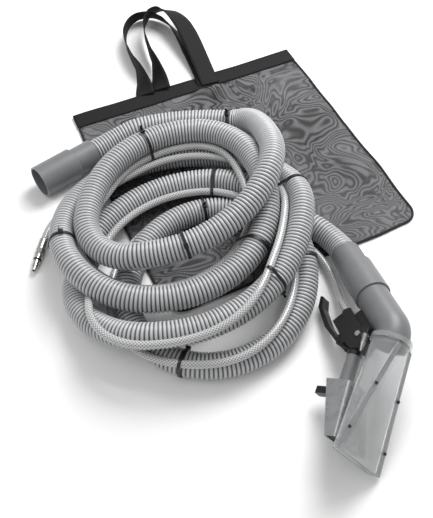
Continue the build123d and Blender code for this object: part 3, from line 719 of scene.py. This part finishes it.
for number, (spot, head_turn) in enumerate(tie_spots):
    steps_on = [Vector(point) for point in hose_line[int(spot):int(spot) + 2]]
    guess = steps_on[0].lerp(steps_on[1], spot % 1)
    nearest = min(range(1, len(hose_path) - 1), key=lambda k: (hose_path[k] - guess).length)
    middle = hose_path[nearest]
    along = (hose_path[nearest + 1] - hose_path[nearest - 1]).normalized()
    flat_gap = [((point - middle) - along * (point - middle).dot(along)) for point in line_path]
    near_line = min(
        (index for index in range(len(line_path)) if abs((line_path[index] - middle).dot(along)) < 0.01),
        key=lambda index: flat_gap[index].length,
    )
    towards = flat_gap[near_line]
    reach = towards.length if towards.length < REACH_MOST else 0.0
    outward = towards.normalized()
    side = along.cross(outward)
    seat = Matrix.Translation(middle) @ Matrix((outward, side, along)).transposed().to_4x4()
    strap = bmesh.new()
    bmesh.ops.create_circle(strap, cap_ends=False, segments=48, radius=1.0)
    for corner in strap.verts:
        way = corner.co.normalized()
        on_line = reach * way.x + LINE_R + 0.0004
        on_hose = HOSE_R + 0.0003
        corner.co = way * on_hose if on_hose >= on_line else Vector((reach, 0, 0)) + way * (LINE_R + 0.0004)
    rim = bmesh.ops.extrude_edge_only(strap, edges=strap.edges[:])["geom"]
    far_edge = [item for item in rim if isinstance(item, bmesh.types.BMVert)]
    bmesh.ops.translate(strap, vec=(0, 0, TIE_WIDTH), verts=far_edge)
    bmesh.ops.translate(strap, vec=(0, 0, -TIE_WIDTH / 2), verts=strap.verts)
    bmesh.ops.recalc_face_normals(strap, faces=strap.faces)
    outer = max(strap.faces, key=lambda face: face.calc_center_median().length)
    if outer.normal.dot(outer.calc_center_median()) < 0:
        bmesh.ops.reverse_faces(strap, faces=strap.faces)
    bmesh.ops.solidify(strap, geom=strap.faces[:], thickness=-TIE_THICK)
    turn = math.radians(head_turn)
    head_out = HOSE_R + 0.003
    block = bmesh.ops.create_cube(strap, size=1.0)["verts"]
    bmesh.ops.scale(strap, vec=(0.0055, 0.0085, 0.0075), verts=block)
    bmesh.ops.bevel(
        strap, geom=[edge for edge in strap.edges if edge.verts[0] in block and edge.verts[1] in block],
        offset=0.0009, offset_type="OFFSET", affect="EDGES", segments=2, profile=0.5, material=-1,
    )
    head = [corner for corner in strap.verts if corner.co.length < 0.01]
    tail = bmesh.ops.create_cube(strap, size=1.0)["verts"]
    bmesh.ops.scale(strap, vec=(0.009, 0.0012, 0.0042), verts=tail)
    bmesh.ops.translate(strap, vec=(0.0058, 0.0018, 0), verts=tail)
    faced_out = Matrix.Translation((-head_out, 0, 0)) @ Matrix.Rotation(math.pi, 4, "Z")
    bmesh.ops.transform(strap, matrix=Matrix.Rotation(turn, 4, "Z") @ faced_out, verts=head + tail)
    bmesh.ops.transform(strap, matrix=seat, verts=strap.verts)
    for corner in strap.verts:
        # where the hose lies on the table its weight presses the strap thin
        corner.co.z = max(corner.co.z, TIE_FLOOR + 0.3 * max(corner.co.z + TIE_THICK, 0.0))
    mesh = bpy.data.meshes.new(f"cable_tie_{number + 1}")
    strap.to_mesh(mesh)
    strap.free()
    mesh.materials.append(nylon)
    tie = bpy.data.objects.new(f"cable_tie_{number + 1}", mesh)
    bpy.context.scene.collection.objects.link(tie)
    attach(tie, "kit")
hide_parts("cable_ties")


# ------------------------------------------------------------------ swivel cuffs and plug
# Two-step cuffs of moulded grey PVC that turn on collars screwed to the hose's ends,
# and the plated brass plug crimped on the solution hose.
pvc, tree, shader = new_finish("moulded_grey_pvc", Roughness=0.42)
place = add_node(tree, "ShaderNodeTexCoord")
cloud = add_node(tree, "ShaderNodeTexNoise", Vector=place.outputs["Object"], Scale=26.0, Detail=4.0)
tone = add_node(tree, "ShaderNodeValToRGB", i0=cloud.outputs["Fac"])
tone.color_ramp.elements[0].color = linear("#6a6b6d")
tone.color_ramp.elements[1].color = linear("#7a7b7d")
tree.links.new(tone.outputs["Color"], shader.inputs["Base Color"])
grain = add_node(tree, "ShaderNodeTexNoise", Vector=place.outputs["Object"], Scale=1400.0, Detail=2.0)
raised = add_node(tree, "ShaderNodeBump", Strength=0.15, Distance=0.0002, Height=grain.outputs["Fac"])
tree.links.new(raised.outputs["Normal"], shader.inputs["Normal"])

plated, tree, shader = new_finish(
    "nickel_plated_brass", Base_Color=linear("#c9c8c5"), Metallic=1.0, Roughness=0.22,
)
place = add_node(tree, "ShaderNodeTexCoord")
turning = add_node(tree, "ShaderNodeTexNoise", Vector=place.outputs["Object"], Scale=700.0, Detail=2.0)
raised = add_node(tree, "ShaderNodeBump", Strength=0.08, Distance=0.0001, Height=turning.outputs["Fac"])
tree.links.new(raised.outputs["Normal"], shader.inputs["Normal"])

rubber, _, _ = new_finish("black_nitrile_rubber", Base_Color=linear("#1b1b1c"), Roughness=0.7)
spring_steel, _, _ = new_finish("drawn_steel", Base_Color=linear("#8a8a8a"), Metallic=1.0, Roughness=0.35)


def refinish(finish, *names):
    """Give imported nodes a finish; their shapes stay as they are."""
    for name in names:
        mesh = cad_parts[name].data
        mesh.materials.clear()
        mesh.materials.append(finish)
        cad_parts[name].data.update()


refinish(pvc, "machine_cuff_shell", "machine_cuff_collar", "tool_cuff_shell", "tool_cuff_collar")
refinish(spring_steel, "machine_cuff_ring", "tool_cuff_ring")
refinish(plated, "plug_ferrule", "plug_body")
refinish(rubber, "plug_seal")

for route in (hose_route, line_route):
    bpy.data.objects.remove(route)


# ------------------------------------------------------------------ hand tool
# The tube and the spray pipe are the cuffs' PVC, the trigger valve is black ABS, and
# the head, the saddle on it and the spray hood are pressed from clear acrylic.
abs_black, tree, shader = new_finish("moulded_black_abs", Base_Color=linear("#1d1d1f"), Roughness=0.34)
place = add_node(tree, "ShaderNodeTexCoord")
grain = add_node(tree, "ShaderNodeTexNoise", Vector=place.outputs["Object"], Scale=1500.0, Detail=2.0)
raised = add_node(tree, "ShaderNodeBump", Strength=0.12, Distance=0.0002, Height=grain.outputs["Fac"])
tree.links.new(raised.outputs["Normal"], shader.inputs["Normal"])

# Acrylic, IOR 1.49: clear, a little grey in the thick, with fine scuffs that show as
# cloudy streaks where the head has been dragged over carpet.
acrylic, tree, shader = new_finish("pressed_clear_acrylic", IOR=1.49, Transmission_Weight=0.86)
place = add_node(tree, "ShaderNodeTexCoord")
scuffs = add_node(tree, "ShaderNodeTexNoise", Vector=place.outputs["Object"], Scale=34.0, Detail=5.0)
tone = add_node(tree, "ShaderNodeValToRGB", i0=scuffs.outputs["Fac"])
tone.color_ramp.elements[0].color = linear("#eceeef")
tone.color_ramp.elements[1].color = linear("#f8f9f9")
tree.links.new(tone.outputs["Color"], shader.inputs["Base Color"])
gloss = add_node(tree, "ShaderNodeMapRange", Value=scuffs.outputs["Fac"], To_Min=0.06, To_Max=0.16)
tree.links.new(gloss.outputs["Result"], shader.inputs["Roughness"])

machined, _, _ = new_finish("machined_brass", Base_Color=linear("#b8a070"), Metallic=1.0, Roughness=0.3)
blackened, _, _ = new_finish(
    "blackened_steel_screws", Base_Color=linear("#3a3a3b"), Metallic=1.0, Roughness=0.4,
)

refinish(pvc, "vac_tube", "spray_tube")
refinish(acrylic, "head_outer_shell", "head_inner_shell", "head_ring")

# The hood and its saddle are the same acrylic, scratched dull by the pile: greyer, half clear.
scratched, tree, shader = new_finish("scratched_acrylic", IOR=1.49, Transmission_Weight=0.45)
place = add_node(tree, "ShaderNodeTexCoord")
scuffs = add_node(tree, "ShaderNodeTexNoise", Vector=place.outputs["Object"], Scale=60.0, Detail=6.0)
tone = add_node(tree, "ShaderNodeValToRGB", i0=scuffs.outputs["Fac"])
tone.color_ramp.elements[0].color = linear("#8f9193")
tone.color_ramp.elements[1].color = linear("#b4b6b8")
tree.links.new(tone.outputs["Color"], shader.inputs["Base Color"])
gloss = add_node(tree, "ShaderNodeMapRange", Value=scuffs.outputs["Fac"], To_Min=0.18, To_Max=0.4)
tree.links.new(gloss.outputs["Result"], shader.inputs["Roughness"])
refinish(scratched, "spray_hood", "hood_saddle")
# Silicone strip in the head's seam: milky, satin, a shade darker than the acrylic.
silicone, _, _ = new_finish(
    "cast_milky_silicone", Base_Color=linear("#d2d4d6"), Roughness=0.4, Transmission_Weight=0.6,
)
refinish(silicone, "head_gasket")
refinish(rubber, "plunger_seal")
refinish(abs_black, "valve_body", "valve_saddle", "valve_cap", "trigger", "inlet_nut")
refinish(abs_black, "hood_clip", "jet_body")
refinish(plated, "valve_lock_screw", "pressure_screw", "inlet_barb")
refinish(machined, "jet_tip", "valve_seat")
refinish(blackened, "head_screws", "trigger_pin", "valve_plunger")
refinish(spring_steel, "valve_spring", "jet_strainer")
